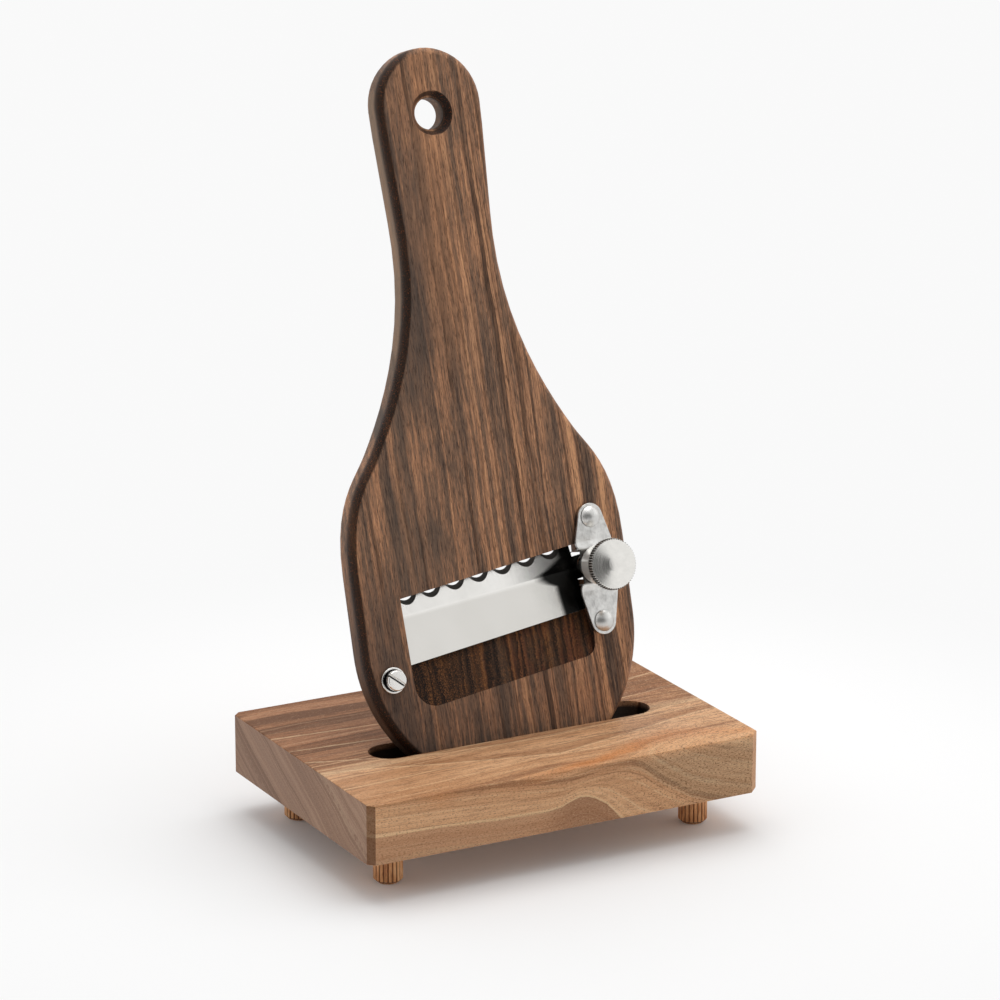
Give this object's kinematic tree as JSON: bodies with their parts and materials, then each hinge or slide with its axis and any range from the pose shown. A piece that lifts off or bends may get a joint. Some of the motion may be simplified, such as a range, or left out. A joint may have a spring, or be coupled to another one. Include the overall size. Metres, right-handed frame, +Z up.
{
  "type": "truffle slicer",
  "caption": "Wooden paddle truffle slicer with a scalloped steel blade in a sloping window, a knurled thickness knob on a steel bridge, and a slotted wooden stand block on dowel feet.",
  "frame": {"origin": "on the floor, under the middle of the whole object's box", "axes": "+Z up, +X along the stand's long side to the right as seen from the front, -Y towards the front"},
  "size_m": [0.15, 0.1157, 0.2601],
  "materials": {
    "block_wood": "oiled, warm tan with darker streaks",
    "foot_wood": "raw fluted dowel",
    "paddle_wood": "oiled dark striped hardwood",
    "blade_steel": "bright satin",
    "steel": "satin stainless",
    "brass": "plain turned"
  },
  "bodies": {
    "stand": {"stand_block": "block_wood", "stand_foot_front_left": "foot_wood", "stand_foot_front_right": "foot_wood", "stand_foot_back_left": "foot_wood", "stand_foot_back_right": "foot_wood"},
    "paddle": {"paddle": "paddle_wood", "bracket": "steel", "bracket_rivet_upper": "steel", "bracket_rivet_lower": "steel", "clamp_screw": "steel", "clamp_washer": "steel", "clamp_insert": "brass"},
    "knob": {"knob": "steel", "knob_stem": "steel", "retaining_collar": "steel", "collar_pin": "steel"},
    "blade": {"blade": "blade_steel", "blade_nut": "steel"}
  },
  "joints": [
    {"name": "paddle_lift", "type": "slide", "parent": "stand", "child": "paddle", "axis": [0, 0.28, 0.96], "range_m": [0, 0.04]},
    {"name": "knob_turn", "type": "hinge", "parent": "paddle", "child": "knob", "pos_m": [0.04035, -0.00267, 0.08522], "axis": [0, -0.96, 0.28], "range_deg": [-510, 180]},
    {"name": "blade_tilt", "type": "hinge", "parent": "paddle", "child": "blade", "pos_m": [-0.04376, 0.0002, 0.06998], "axis": [-0.131, 0.2776, 0.9517], "range_deg": [-0.6669, 0.2353]}
  ],
  "couplings": [
    {"joint": "knob_turn", "follows": "blade_tilt", "ratio": 764.72}
  ]
}
